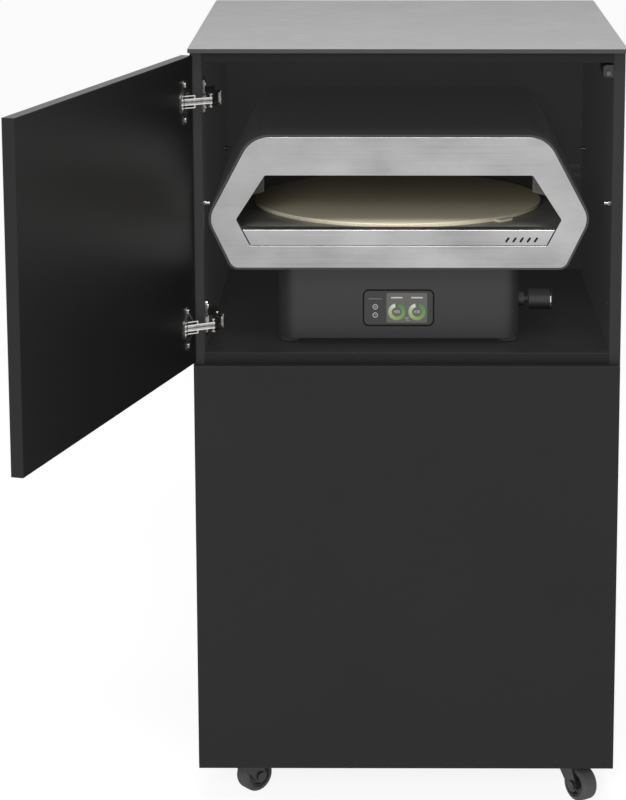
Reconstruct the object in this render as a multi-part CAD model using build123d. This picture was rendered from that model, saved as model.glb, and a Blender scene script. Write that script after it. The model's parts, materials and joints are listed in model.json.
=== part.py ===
"""Outdoor kitchen module on casters, with an oven bay above a closed cupboard.

Millimetres. The origin is on the floor under the worktop's centre, X to the right,
Y to the back and Z up. The upper door is drawn open and the lower door closed.
"""
import os
from math import atan2, cos, degrees, hypot, radians, sin, sqrt

from build123d import *

# Driving dimensions of the cabinet
overall_height = 1105.0
worktop_width = 600.0
worktop_depth = 620.0
worktop_thickness = 6.0
worktop_corner = 4.0
worktop_edge = 0.8
board = 16.0
side_overhang = 1.5
back_overhang = 12.0
front_overhang = 4.0
oven_bay_height = 408.0
caster_height = 66.0
board_edge = 0.6

# Doors
door_gap = 2.0
door_side_reveal = 1.5
door_top_reveal = 5.0
door_between = 2.5
upper_door_lap = 12.5
upper_door_angle = 106.0

# Back panel vents: two stacked slots at each end of the oven bay
vent_length = 70.0
vent_height = 7.0
vent_pitch = 14.0
vent_corner = 2.0
vent_above_shelf = 167.0
vent_side_margin = 3.0
vent_rise = 28.0

# System holes, shared by hinge plates, shelf pins and spare positions
system_setback = 37.0
system_pitch = 32.0
system_hole_d = 5.0
system_hole_depth = 12.0
pin_shank = 10.0
pin_reach = 7.0
pin_collar_d = 9.0
pin_collar_t = 1.5
pin_height = 206.0
pin_rear_setback = 60.0

# Concealed hinge
hinge_inset_top = 61.0
hinge_inset_bottom = 55.0
pivot_beyond_edge = 0.3
pivot_into_door = 2.9
cup_d = 35.0
cup_wall = 1.0
cup_depth = 11.8
cup_from_edge = 30.0
cup_fit = 0.1
flange_length = 64.0
flange_width = 16.0
flange_rim = 2.0
flange_t = 1.2
flange_screw_pitch = 48.0
cup_pin_from_edge = 30.0
cup_pin_depth = 4.6
pin_d = 3.0
pin_run = 0.05
rear_link_length = 44.0
rear_link_angle = 31.0
rear_link_t = 9.0
rear_link_width = 5.0
rear_link_eye = 8.0
rear_cheek_gap = 7.6
rear_cheek_t = 1.2
rear_cheek_width = 3.0
rear_cheek_length = 20.0
link_eye_wall = 2.0
knuckle_d = 8.0
arm_t = 14.0
arm_width = 8.5
arm_start = 20.0
arm_length = 58.0
front_link_gap = 0.4
front_link_t = 2.0
front_link_width = 6.0
plate_t = 5.0
plate_wing_t = 2.5
plate_wing_length = 52.0
plate_wing_width = 14.0
plate_spine_width = 13.0
screw_d = 4.8
screw_head_d = 8.0
screw_head_t = 1.5
arm_screw_d = 6.5
arm_screw_t = 1.4
arm_screw_setback = (14.0, 44.0)

# Push latch
latch_width = 14.0
latch_height = 17.0
latch_length = 60.0
latch_front_setback = 2.0
latch_below_top = 3.0
latch_round = 5.0
plunger_d = 7.0
plunger_above_foot = 5.5
plunger_run = 0.06
plunger_length = 28.0
plunger_tip_gap = 0.3
plunger_travel = 4.0
plunger_room = 1.0

# Casters
caster_inset_side = 58.0
caster_inset_front = 49.0
caster_inset_back = 60.0
caster_plate = 60.0
caster_plate_t = 2.5
caster_plate_corner = 7.0
caster_hole_pitch = 46.0
caster_screw_d = 5.0
caster_screw_head_d = 10.0
caster_screw_head_t = 3.0
caster_screw_grip = 12.0
wheel_d = 50.0
tyre_width = 25.0
tyre_round = 5.0
hub_d = 36.0
hub_width = 21.0
hub_dish = 3.0
hub_boss_d = 16.0
caster_trail = 24.0
fork_t = 2.5
fork_gap = 1.5
fork_eye_d = 20.0
fork_top_d = 34.0
fork_crown = 36.0
race_d = 31.0
race_gap = 0.3
race_height = 4.0
kingpin_d = 8.0
kingpin_head_d = 14.0
kingpin_head_t = 2.2
run_fit = 0.06
axle_d = 8.0
axle_head_d = 14.0
axle_head_t = 3.0
caster_yaw = {"front_left": 40.0, "front_right": -55.0, "rear_left": 118.0, "rear_right": 61.0}

# Oven: half widths as insets from the bay's half width, heights from the shelf
oven_x = -11.6
oven_setback = 36.0
oven_back_room = 39.0
bezel_t = 3.0
bezel_fit = 0.3
bezel_lip = 12.0
bezel_lip_t = 1.5
bezel_edge = 0.8
hex_tip_inset, hex_tip_z = 15.3, 183.8
hex_bottom_inset, hex_bottom_z = 33.7, 113.2
hex_top_inset, hex_top_z = 61.2, 299.4
hex_bottom_r, hex_tip_r, hex_top_r = 13.5, 30.0, 42.0
mouth_bottom_inset, mouth_bottom_z = 59.0, 145.2
mouth_tip_inset, mouth_tip_z = 39.7, 182.3
mouth_top_inset, mouth_top_z = 80.2, 244.9
mouth_r = 4.0
mouth_edge = 0.9
shell_t = 2.5
shell_setback = 2.0
shell_back_r = 16.0
sill_top = 168.0
sill_t = 2.0
sill_gap = 0.8
sill_end_gap = 1.6
sill_bend = 1.4
sill_setback = 0.6
sill_depth = 24.0
sill_slot_inset = 16.0
sill_slot_pitch = 10.0
sill_slot_count = 5
sill_slot_length = 8.4
sill_slot_width = 3.0
sill_slot_lean = 35.0
sill_slot_z = 153.7
floor_top = 163.5
floor_t = 2.0
floor_fit = 0.4
stone_t = 6.5
stone_setback = 34.0
stone_back_room = 35.0
stone_edge = 2.0
stone_tab_width, stone_tab_reach, stone_tab_t = 26.0, 9.0, 3.5
stone_tab_angle = -46.0
baffle_inset, baffle_low, baffle_drop = 72.2, 194.5, 10.0
baffle_setback = 152.0
baffle_t = 2.0
burner_d = 20.0
burner_bore_d = 14.0
burner_side_room = 26.0
burner_off_back = 25.5
burner_z = 202.6
burner_foot = 24.0
oven_base_inset = 96.2
oven_base_setback = 17.0
oven_base_back_inset = 68.0
oven_base_bottom = 8.5
oven_base_front_r = 26.0
oven_base_back_r = 10.0
oven_base_wall = 2.0
foot_d = 28.0
foot_side_inset = 17.0
foot_inset_front = 26.0
foot_inset_back = 40.0
foot_edge = 2.0
display_width = 99.0
display_height = 51.0
display_r = 8.0
display_z = 52.5
display_t = 1.6
display_gap = 0.8
display_rim = 4.0
display_proud = 0.3
screen_width = 57.6
screen_height = 43.0
screen_r = 2.0
screen_shift = 11.8
screen_t = 0.8
knob_d = 30.0
knob_length = 35.0
knob_gap = 14.5
knob_z = 52.7
knob_collar_d = 20.0
knob_collar_t = 9.0
knob_setback = 60.0
knob_edge = 2.0
knob_ring_t = 1.4
knob_ring_groove = 1.2
knob_shaft_d = 8.0
knob_shaft_seat = 12.0
knob_bore_depth = 16.0
knob_end_gap = 0.5
inlet_d = 9.0
inlet_barb_d = 11.0
inlet_nut_d = 18.0
inlet_nut_t = 8.0
inlet_length = 26.0
inlet_barbs = 3

# Levels and planes that follow from the driving dimensions
carcass_top = overall_height - worktop_thickness
bay_top = carcass_top - board
shelf_top = bay_top - oven_bay_height
shelf_bottom = shelf_top - board
carcass_bottom = caster_height
cupboard_floor = carcass_bottom + board
half_width = worktop_width / 2 - side_overhang
inner_half = half_width - board
half_door = half_width - door_side_reveal
door_front_y = -worktop_depth / 2 + front_overhang
door_back_y = door_front_y + board
front_y = door_back_y + door_gap
back_y = worktop_depth / 2 - back_overhang
back_inner_y = back_y - board
system_y = front_y + system_setback
upper_door_z = (shelf_top - upper_door_lap, carcass_top - door_top_reveal)
lower_door_z = (carcass_bottom, upper_door_z[0] - door_between)


def slab(x0, x1, y0, y1, z0, z1):
    """Box between two corners."""
    return Pos((x0 + x1) / 2, (y0 + y1) / 2, (z0 + z1) / 2) * Box(x1 - x0, y1 - y0, z1 - z0)


def rod_x(x0, x1, y, z, d):
    """Round bar along X."""
    return Pos((x0 + x1) / 2, y, z) * Rot(0, 90, 0) * Cylinder(d / 2, abs(x1 - x0))


def rod_y(x, y0, y1, z, d):
    """Round bar along Y."""
    return Pos(x, (y0 + y1) / 2, z) * Rot(90, 0, 0) * Cylinder(d / 2, abs(y1 - y0))


def rod_z(x, y, z0, z1, d):
    """Round bar along Z."""
    return Pos(x, y, (z0 + z1) / 2) * Cylinder(d / 2, abs(z1 - z0))


def save(name, *pieces):
    """Writes one node, as a group when it has several solids."""
    solids = [solid for piece in pieces for solid in piece.solids()]
    export_step(Compound(solids), f"parts/{name}.step")


# Carcass and worktop

def make_worktop():
    slab_top = slab(-worktop_width / 2, worktop_width / 2, -worktop_depth / 2, worktop_depth / 2,
                    carcass_top, overall_height)
    slab_top = fillet(slab_top.edges().filter_by(Axis.Z), worktop_corner)
    return chamfer(slab_top.faces().sort_by(Axis.Z)[-1].edges(), worktop_edge)


def hinge_heights(door_z):
    return (door_z[0] + hinge_inset_bottom, door_z[1] - hinge_inset_top)


def spare_heights(door_z):
    """Hinge heights of the same door turned over and hung on the right."""
    return (door_z[0] + hinge_inset_top, door_z[1] - hinge_inset_bottom)


def system_pair(side, height):
    """A pair of holes for one hinge plate in a side panel."""
    inner = side * inner_half
    return [rod_x(inner, inner + side * system_hole_depth, system_y, height + step, system_hole_d)
            for step in (-system_pitch / 2, system_pitch / 2)]


def shelf_pin_places():
    return [(side, y) for side in (-1, 1) for y in (system_y, back_inner_y - pin_rear_setback)]


def make_side_panel(side):
    inner, outer = sorted((side * inner_half, side * half_width))
    panel = slab(inner, outer, front_y, back_y, carcass_bottom, carcass_top)
    front = panel.faces().sort_by(Axis.Y)[0]
    panel = chamfer(front.edges().filter_by(Axis.Z), board_edge)
    for door_z in (upper_door_z, lower_door_z):
        for height in hinge_heights(door_z) if side < 0 else spare_heights(door_z):
            panel -= system_pair(side, height)
    wall = side * inner_half
    for pin_side, y in shelf_pin_places():
        if pin_side == side:
            panel -= rod_x(wall, wall + side * system_hole_depth, y, shelf_top + pin_height, system_hole_d)
    return panel


def make_level(z0, z1):
    """Horizontal board between the side panels."""
    level = slab(-inner_half, inner_half, front_y, back_inner_y, z0, z1)
    return chamfer(level.faces().sort_by(Axis.Y)[0].edges().filter_by(Axis.X), board_edge)


def make_bottom_panel():
    panel = make_level(carcass_bottom, cupboard_floor)
    for x, y in caster_places().values():
        for hole_x, hole_y in caster_holes(x, y):
            panel -= rod_z(hole_x, hole_y, carcass_bottom, carcass_bottom + caster_screw_grip, caster_screw_d)
    return panel


def make_back_panel():
    panel = slab(-inner_half, inner_half, back_inner_y, back_y, carcass_bottom, carcass_top)
    reach = inner_half - vent_side_margin - vent_length / 2
    rise = radians(vent_rise)
    for side in (-1, 1):
        for row in (0, 1):
            slot = Rot(90, 0, 0) * RectangleRounded(vent_length, vent_height, vent_corner)
            place = Pos(side * reach, back_inner_y, shelf_top + vent_above_shelf - row * vent_pitch)
            panel -= extrude(place * slot, 2 * board, both=True, dir=(0, cos(rise), sin(rise)))
    return panel


def make_shelf_pins():
    pins = []
    for side, y in shelf_pin_places():
        wall, z = side * inner_half, shelf_top + pin_height
        pin = rod_x(wall + side * pin_shank, wall - side * pin_reach, y, z, system_hole_d)
        pin += rod_x(wall, wall - side * pin_collar_t, y, z, pin_collar_d)
        pins.append(pin)
    return pins


# Concealed hinges, worked out in plan for the left side

door_edge_x = -half_door
pivot = (door_edge_x - pivot_beyond_edge, door_back_y - pivot_into_door)
cup_pin_plan = (door_edge_x + cup_pin_from_edge, door_back_y - cup_pin_depth)
link_lean = radians(rear_link_angle)
knuckle = (pivot[0] + rear_link_length * cos(link_lean), pivot[1] + rear_link_length * sin(link_lean))
crank = (cup_pin_plan[0] - pivot[0], cup_pin_plan[1] - pivot[1])
front_link_length = hypot(*crank)
front_link_closed = degrees(atan2(crank[1], crank[0]))
cup_plan = (door_edge_x + cup_from_edge, door_back_y)


def swing(point, opening):
    """Plan point of the door after it has opened by some degrees."""
    turn = radians(opening)
    x, y = point[0] - pivot[0], point[1] - pivot[1]
    return pivot[0] + x * cos(turn) + y * sin(turn), pivot[1] - x * sin(turn) + y * cos(turn)


def with_door(piece, opening):
    """Turns a piece of the closed door to its opened place."""
    return piece.rotate(Axis((pivot[0], pivot[1], 0), (0, 0, -1)), opening)


def make_door(door_z, opening):
    panel = slab(-half_door, half_door, door_front_y, door_back_y, *door_z)
    panel = fillet(panel.edges(), board_edge)
    for height in hinge_heights(door_z):
        panel -= rod_y(cup_plan[0], door_back_y - cup_depth - cup_fit, door_back_y, height, cup_d + 2 * cup_fit)
        for step in (-1, 1):
            z = height + step * flange_screw_pitch / 2
            panel -= rod_y(cup_plan[0], door_back_y - board / 2, door_back_y, z, screw_d)
    return with_door(panel, opening)


def make_cup(height, opening):
    x, y = cup_plan
    bore_d = cup_d - 2 * cup_wall
    flange = Circle(cup_d / 2 + flange_rim) + Rot(0, 0, 90) * SlotOverall(flange_length, flange_width)
    cup = extrude(Pos(x, y, height) * Rot(90, 0, 0) * flange, -flange_t)
    cup += rod_y(x, y - cup_depth, y, height, cup_d)
    cup -= rod_y(x, y - cup_depth + cup_wall, y + flange_t, height, bore_d)
    for step in (-1, 1):
        cup -= rod_y(x, y, y + flange_t, height + step * flange_screw_pitch / 2, screw_d)
    cup -= cup_pin(height)
    return with_door(cup, opening)


def cup_pin(height):
    """Pin across the cup, pressed into both sides of its wall."""
    offset = cup_pin_from_edge - cup_from_edge
    reach = sqrt((cup_d / 2 - cup_wall / 2) ** 2 - offset ** 2)
    return rod_z(*cup_pin_plan, height - reach, height + reach, pin_d)


def make_cup_screws(height, opening):
    screws = []
    x, y = cup_plan
    for step in (-1, 1):
        z = height + step * flange_screw_pitch / 2
        screw = rod_y(x, y - board / 2, y + flange_t, z, screw_d)
        head = rod_y(x, y + flange_t, y + flange_t + screw_head_t, z, screw_head_d)
        screws.append(with_door(screw + round_head(head, (0, 1, 0)), opening))
    return screws


def round_head(head, outward):
    """Softens the outer rim of a screw head."""
    rim = head.faces().sort_by(Axis((0, 0, 0), outward))[-1].edges()
    return fillet(rim, screw_head_t / 2)


def bar_with_eye(length, width, eye_d):
    """Outline of a flat link along +X, with a running bore at its near end."""
    outline = Circle(eye_d / 2) + Pos(length / 2, 0) * Rectangle(length, width)
    return outline - Circle(pin_d / 2 + pin_run)


def make_rear_link(height, opening):
    """Bar from the cup's pin to the loop pin, with a thin cheek on each side near the cup."""
    outline = bar_with_eye(rear_link_length, rear_link_width, rear_link_eye)
    outline += Pos(rear_link_length, 0) * Circle(pin_d / 2 + link_eye_wall)
    outline -= Pos(rear_link_length, 0) * Circle(pin_d / 2 + pin_run)
    link = Pos(0, 0, -rear_link_t / 2) * extrude(outline, rear_link_t)
    cheek = extrude(bar_with_eye(rear_cheek_length, rear_cheek_width, rear_link_eye), rear_cheek_t)
    reach = rear_cheek_gap + rear_cheek_t
    link += Pos(0, 0, rear_cheek_gap) * cheek
    link += Pos(0, 0, -reach) * cheek
    half = rear_cheek_width / 2
    link += slab(rear_cheek_length - rear_cheek_t, rear_cheek_length, -half, half, -reach, reach)
    return Pos(*swing(cup_pin_plan, opening), height) * Rot(0, 0, rear_link_angle) * link


def make_front_link(height, opening):
    """Two cheeks beside the arm, joined by the loop pin."""
    outline = bar_with_eye(front_link_length, front_link_width, knuckle_d)
    outline += Pos(front_link_length, 0) * Circle(pin_d / 2 + link_eye_wall)
    inner = arm_t / 2 + front_link_gap
    link = rod_z(front_link_length, 0, -inner - front_link_t, inner + front_link_t, pin_d)
    link += Pos(0, 0, inner) * extrude(outline, front_link_t)
    link += Pos(0, 0, -inner - front_link_t) * extrude(outline, front_link_t)
    return Pos(knuckle[0], knuckle[1], height) * Rot(0, 0, front_link_closed - opening) * link


def make_knuckle_pin(height):
    reach = arm_t / 2 + front_link_gap + front_link_t
    return rod_z(*knuckle, height - reach, height + reach, pin_d)


def make_arm(height):
    """Arm from the mounting plate to the knuckle."""
    wall = -inner_half + plate_t
    y0, y1 = front_y + arm_start, front_y + arm_start + arm_length
    shoulder = Pos(wall + arm_width / 2, y0 + arm_width / 2) * Circle(arm_width / 2)
    neck = make_hull((Pos(*knuckle) * Circle(knuckle_d / 2)).edges() + shoulder.edges())
    body = Pos(wall + arm_width / 2, (y0 + y1) / 2 + arm_width / 4)
    outline = neck + body * Rectangle(arm_width, y1 - y0 - arm_width / 2)
    outline -= Pos(*knuckle) * Circle(pin_d / 2)
    return Pos(0, 0, height - arm_t / 2) * extrude(outline, arm_t)


def make_arm_screws(height):
    face = -inner_half + plate_t + arm_width
    return [rod_x(face, face + arm_screw_t, front_y + arm_start + setback, height, arm_screw_d)
            for setback in arm_screw_setback]


def make_hinge_plate(height):
    """Cross-shaped mounting plate on the left wall."""
    wall = -inner_half
    spine = slab(wall, wall + plate_t, front_y + arm_start, front_y + arm_start + arm_length,
                 height - plate_spine_width / 2, height + plate_spine_width / 2)
    wing = Plane((wall, system_y, height), x_dir=(0, 0, 1), z_dir=(1, 0, 0))
    plate = spine + extrude(wing * SlotOverall(plate_wing_length, plate_wing_width), plate_wing_t)
    for step in (-system_pitch / 2, system_pitch / 2):
        plate -= rod_x(wall, wall + plate_wing_t, system_y, height + step, screw_d)
    return plate


def make_plate_screws(height):
    wall = -inner_half
    screws = []
    for step in (-system_pitch / 2, system_pitch / 2):
        z = height + step
        head = rod_x(wall + plate_wing_t, wall + plate_wing_t + screw_head_t, system_y, z, screw_head_d)
        shank = rod_x(wall - system_hole_depth, wall + plate_wing_t, system_y, z, screw_d)
        screws.append(shank + round_head(head, (1, 0, 0)))
    return screws


# Push latches on the right wall

def latch_axis(ceiling):
    """X and Z of a plunger under a board."""
    return inner_half - latch_width / 2, ceiling - latch_below_top - latch_height + plunger_above_foot


def make_latch_housing(ceiling):
    x, z = latch_axis(ceiling)
    y0, top = front_y + latch_front_setback, ceiling - latch_below_top
    body = slab(inner_half - latch_width, inner_half, y0, y0 + latch_length, top - latch_height, top)
    room = body.edges().filter_by(Axis.Y).sort_by(Axis.X)[:2]
    body = fillet(room, latch_round)
    depth = door_back_y + plunger_tip_gap + plunger_length + plunger_travel + plunger_room
    return body - rod_y(x, y0, depth, z, plunger_d)


def make_plunger(ceiling):
    x, z = latch_axis(ceiling)
    tip = door_back_y + plunger_tip_gap
    plunger = rod_y(x, tip, tip + plunger_length, z, plunger_d - 2 * plunger_run)
    return chamfer(plunger.faces().sort_by(Axis.Y)[0].edges(), plunger_d / 8)


# Swivel casters, drawn about their kingpin with the wheel trailing along +X

def caster_places():
    x = half_width - caster_inset_side
    front, rear = front_y + caster_inset_front, back_y - caster_inset_back
    return {"front_left": (-x, front), "front_right": (x, front), "rear_left": (-x, rear), "rear_right": (x, rear)}


def caster_holes(x, y):
    step = caster_hole_pitch / 2
    return [(x + i * step, y + j * step) for i in (-1, 1) for j in (-1, 1)]


plate_low = carcass_bottom - caster_plate_t
race_top = plate_low - race_gap
fork_high = race_top - race_height
fork_low = fork_high - fork_t
wheel_r = wheel_d / 2
fork_inner = tyre_width / 2 + fork_gap
fork_outer = fork_inner + fork_t


def make_caster_plate(x, y):
    plate = slab(x - caster_plate / 2, x + caster_plate / 2, y - caster_plate / 2, y + caster_plate / 2,
                 plate_low, carcass_bottom)
    plate = fillet(plate.edges().filter_by(Axis.Z), caster_plate_corner)
    for hole_x, hole_y in caster_holes(x, y):
        plate -= rod_z(hole_x, hole_y, plate_low, carcass_bottom, caster_screw_d)
    return plate


def make_caster_screws(x, y):
    screws = []
    for hole_x, hole_y in caster_holes(x, y):
        head = rod_z(hole_x, hole_y, plate_low - caster_screw_head_t, plate_low, caster_screw_head_d)
        head = fillet(head.faces().sort_by(Axis.Z)[0].edges(), caster_screw_head_t / 2)
        screws.append(head + rod_z(hole_x, hole_y, plate_low, carcass_bottom + caster_screw_grip, caster_screw_d))
    return screws


def make_kingpin(x, y):
    head_top = fork_low - race_gap
    pin = rod_z(x, y, head_top, plate_low, kingpin_d)
    head = rod_z(x, y, head_top - kingpin_head_t, head_top, kingpin_head_d)
    return pin + fillet(head.faces().sort_by(Axis.Z)[0].edges(), kingpin_head_t / 2)


def make_fork():
    """Bent-sheet fork under a turned race."""
    leg_foot = Pos(caster_trail, wheel_r) * Circle(fork_eye_d / 2)
    leg_top = Pos(0, fork_high - fork_t / 2) * Rectangle(fork_crown, fork_t)
    leg = make_hull(leg_foot.edges() + leg_top.edges())
    leg -= Pos(caster_trail, wheel_r) * Circle(axle_d / 2)
    upright = Plane((0, -fork_inner, 0), x_dir=(1, 0, 0), z_dir=(0, -1, 0))
    leg_solid = extrude(upright * leg, fork_t)
    fork = leg_solid + mirror(leg_solid, Plane.XZ)
    fork += rod_z(0, 0, fork_low, fork_high, fork_top_d)
    fork += slab(-fork_crown / 2, fork_crown / 2, -fork_outer, fork_outer, fork_low, fork_high)
    fork += rod_z(0, 0, fork_high, race_top, race_d)
    return fork - rod_z(0, 0, fork_low, race_top, kingpin_d + 2 * run_fit)


def make_hub():
    """Turned hub with dished faces and a boss beside each fork leg."""
    boss = fork_inner - race_gap
    hub = rod_y(0, -hub_width / 2, hub_width / 2, 0, hub_d)
    rim = Circle(hub_d / 2 - hub_dish) - Circle(hub_boss_d / 2)
    for side in (-1, 1):
        dish = extrude(Rot(90, 0, 0) * rim, hub_dish)
        middle = side * (hub_width / 2 - hub_dish / 2)
        hub -= Pos(0, middle + hub_dish / 2, 0) * dish
    hub += rod_y(0, -boss, boss, 0, hub_boss_d)
    hub -= rod_y(0, -boss, boss, 0, axle_d + 2 * run_fit)
    return Pos(caster_trail, 0, wheel_r) * hub


def make_tyre():
    tyre = rod_y(0, -tyre_width / 2, tyre_width / 2, 0, wheel_d)
    tyre = fillet(tyre.edges().filter_by(GeomType.CIRCLE), tyre_round)
    tyre -= rod_y(0, -tyre_width / 2, tyre_width / 2, 0, hub_d)
    return Pos(caster_trail, 0, wheel_r) * tyre


def make_axle():
    """Bolt with a round head on one side and a hexagon nut on the other."""
    bolt = rod_y(0, -fork_outer, fork_outer, 0, axle_d)
    head = rod_y(0, -fork_outer - axle_head_t, -fork_outer, 0, axle_head_d)
    bolt += fillet(head.faces().sort_by(Axis.Y)[0].edges(), axle_head_t / 3)
    nut = Plane((0, fork_outer + axle_head_t, 0), x_dir=(1, 0, 0), z_dir=(0, -1, 0))
    bolt += extrude(nut * RegularPolygon(axle_head_d / 2, 6), axle_head_t)
    return Pos(caster_trail, 0, wheel_r) * bolt


# Oven, standing on the shelf

bezel_y = front_y + oven_setback
shell_front_y = bezel_y + shell_setback
shell_back_y = back_inner_y - oven_back_room
shell_inner_back = shell_back_y - shell_t
oven_base_front = bezel_y + oven_base_setback
oven_base_back = shell_back_y - oven_base_back_inset
oven_base_top = hex_bottom_z - shell_t
hex_tip_half = inner_half - hex_tip_inset
hex_bottom_half = hex_tip_half - hex_bottom_inset
hex_top_half = hex_tip_half - hex_top_inset
mouth_bottom_half = hex_tip_half - mouth_bottom_inset
mouth_tip_half = hex_tip_half - mouth_tip_inset
mouth_top_half = hex_tip_half - mouth_top_inset
baffle_half = hex_tip_half - baffle_inset
oven_base_half = hex_tip_half - oven_base_inset


def oven_sheet(outline, y0, y1):
    """Extrudes a front-view outline, drawn about the oven's centre, from y0 back to y1."""
    plane = Plane((oven_x, y1, shelf_top), x_dir=(1, 0, 0), z_dir=(0, -1, 0))
    return extrude(plane * outline, y1 - y0)


def six_sided(bottom, tip, top, bottom_r, tip_r, top_r):
    """Mirrored six-sided outline with rounded corners."""
    right = [bottom, tip, top]
    left = [(-x, z) for x, z in reversed(right)]
    outline = make_face(Polyline(*right, *left, close=True))
    tips = outline.vertices().sort_by(Axis.X)
    outline = fillet([tips[0], tips[-1]], tip_r)
    outline = fillet(outline.vertices().group_by(Axis.Y)[-1], top_r)
    return fillet(outline.vertices().group_by(Axis.Y)[0], bottom_r)


def hood_outline():
    return six_sided((hex_bottom_half, hex_bottom_z), (hex_tip_half, hex_tip_z), (hex_top_half, hex_top_z),
                     hex_bottom_r, hex_tip_r, hex_top_r)


def mouth_outline():
    return six_sided((mouth_bottom_half, mouth_bottom_z), (mouth_tip_half, mouth_tip_z),
                     (mouth_top_half, mouth_top_z), mouth_r, mouth_r, mouth_r)


def hood_half_at(z):
    """Half width inside the hood's straight sides at a height above the shelf."""
    if z < hex_tip_z:
        share = (z - hex_bottom_z) / (hex_tip_z - hex_bottom_z)
        return hex_bottom_half + share * (hex_tip_half - hex_bottom_half)
    share = (z - hex_tip_z) / (hex_top_z - hex_tip_z)
    return hex_tip_half + share * (hex_top_half - hex_tip_half)


def mouth_half_at(z):
    """Half width of the mouth below its tips."""
    share = (z - mouth_bottom_z) / (mouth_tip_z - mouth_bottom_z)
    return mouth_bottom_half + share * (mouth_tip_half - mouth_bottom_half)


def make_hood():
    hood = oven_sheet(offset(hood_outline(), shell_t), shell_front_y, shell_back_y)
    hood = fillet(hood.faces().sort_by(Axis.Y)[-1].edges(), shell_back_r)
    room = oven_sheet(hood_outline(), shell_front_y, shell_inner_back)
    return hood - fillet(room.faces().sort_by(Axis.Y)[-1].edges(), shell_back_r - shell_t)


def make_bezel():
    face = oven_sheet(offset(hood_outline(), -bezel_fit), bezel_y, bezel_y + bezel_t)
    face = fillet(face.faces().sort_by(Axis.Y)[0].edges(), bezel_edge)
    lip = oven_sheet(offset(mouth_outline(), bezel_lip_t), bezel_y + bezel_t, bezel_y + bezel_lip)
    bezel = face + lip - oven_sheet(mouth_outline(), bezel_y, bezel_y + bezel_lip)
    return fillet(bezel.faces().sort_by(Axis.Y)[0].inner_wires()[0].edges(), mouth_edge)


def make_sill():
    """Hat-section strip along the foot of the mouth, standing on the oven floor."""
    low, high = mouth_bottom_z + sill_gap, sill_top
    low_half, high_half = mouth_half_at(low) - sill_end_gap, mouth_half_at(high) - sill_end_gap
    front = make_face(Polyline((-low_half, low), (low_half, low), (high_half, high), (-high_half, high), close=True))
    y0 = bezel_y + sill_setback
    sill = oven_sheet(front, y0, y0 + sill_t)
    for step in range(sill_slot_count):
        slot = Rot(0, 0, 90 - sill_slot_lean) * SlotOverall(sill_slot_length, sill_slot_width)
        place = Pos(mouth_bottom_half - sill_slot_inset - step * sill_slot_pitch, sill_slot_z)
        sill -= oven_sheet(place * slot, y0, y0 + sill_t)
    width = 2 * (mouth_half_at(floor_top) - bezel_lip_t - sill_gap)
    ledge = Pos(0, high - sill_t / 2) * Rectangle(width, sill_t)
    leg = Pos(0, (high + floor_top) / 2) * Rectangle(width, high - floor_top)
    sill += oven_sheet(ledge, y0, y0 + sill_depth)
    sill += oven_sheet(leg, y0 + sill_depth - sill_t, y0 + sill_depth)
    bend = sill.edges().filter_by(Axis.X).group_by(Axis.Z)[-1].sort_by(Axis.Y)[0]
    return fillet(bend, sill_bend)


def make_oven_floor():
    low = floor_top - floor_t
    low_half, high_half = hood_half_at(low) - floor_fit, hood_half_at(floor_top) - floor_fit
    outline = make_face(Polyline((-low_half, low), (low_half, low), (high_half, floor_top),
                                 (-high_half, floor_top), close=True))
    return oven_sheet(outline, bezel_y + bezel_lip + floor_fit, shell_back_y - shell_back_r)


def make_stone():
    front, back = bezel_y + stone_setback, shell_back_y - stone_back_room
    stone = rod_z(oven_x, (front + back) / 2, shelf_top + floor_top, shelf_top + floor_top + stone_t, back - front)
    stone = fillet(stone.edges().filter_by(GeomType.CIRCLE), stone_edge)
    radius, foot = (back - front) / 2, shelf_top + floor_top
    tab = slab(radius - stone_tab_reach, radius + stone_tab_reach, -stone_tab_width / 2, stone_tab_width / 2,
               foot, foot + stone_tab_t)
    return stone + Pos(oven_x, (front + back) / 2, 0) * Rot(0, 0, stone_tab_angle) * tab


def make_baffles():
    """Upright shields at both sides of the stone, hung from the hood's sloping sides."""
    high = hex_top_z - hex_top_r / 2
    foot = baffle_low - baffle_drop
    foot_half = (baffle_half + hood_half_at(foot)) / 2
    side_z = hex_tip_z + hex_tip_r / 2
    right = [(baffle_half, baffle_low), (foot_half, foot), (hood_half_at(side_z) - floor_fit, side_z),
             (hood_half_at(high) - floor_fit, high), (baffle_half, high)]
    left = [(-x, z) for x, z in right]
    baffle_y = bezel_y + baffle_setback
    return [oven_sheet(make_face(Polyline(*side, close=True)), baffle_y, baffle_y + baffle_t)
            for side in (right, left)]


def make_burner():
    """Perforated gas tube along the back wall, on two feet."""
    z = shelf_top + burner_z
    burner_y = shell_inner_back - burner_off_back
    x0, x1 = oven_x - hex_top_half + burner_side_room, oven_x + hex_top_half - burner_side_room
    tube = rod_x(x0, x1, burner_y, z, burner_d)
    for x in (x0 + burner_foot, x1 - burner_foot):
        tube += slab(x - burner_foot / 2, x + burner_foot / 2, burner_y, shell_inner_back,
                     z - burner_d / 4, z + burner_d / 4)
    return tube - rod_x(x0 + burner_foot, x1 - burner_foot, burner_y, z, burner_bore_d)


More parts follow.
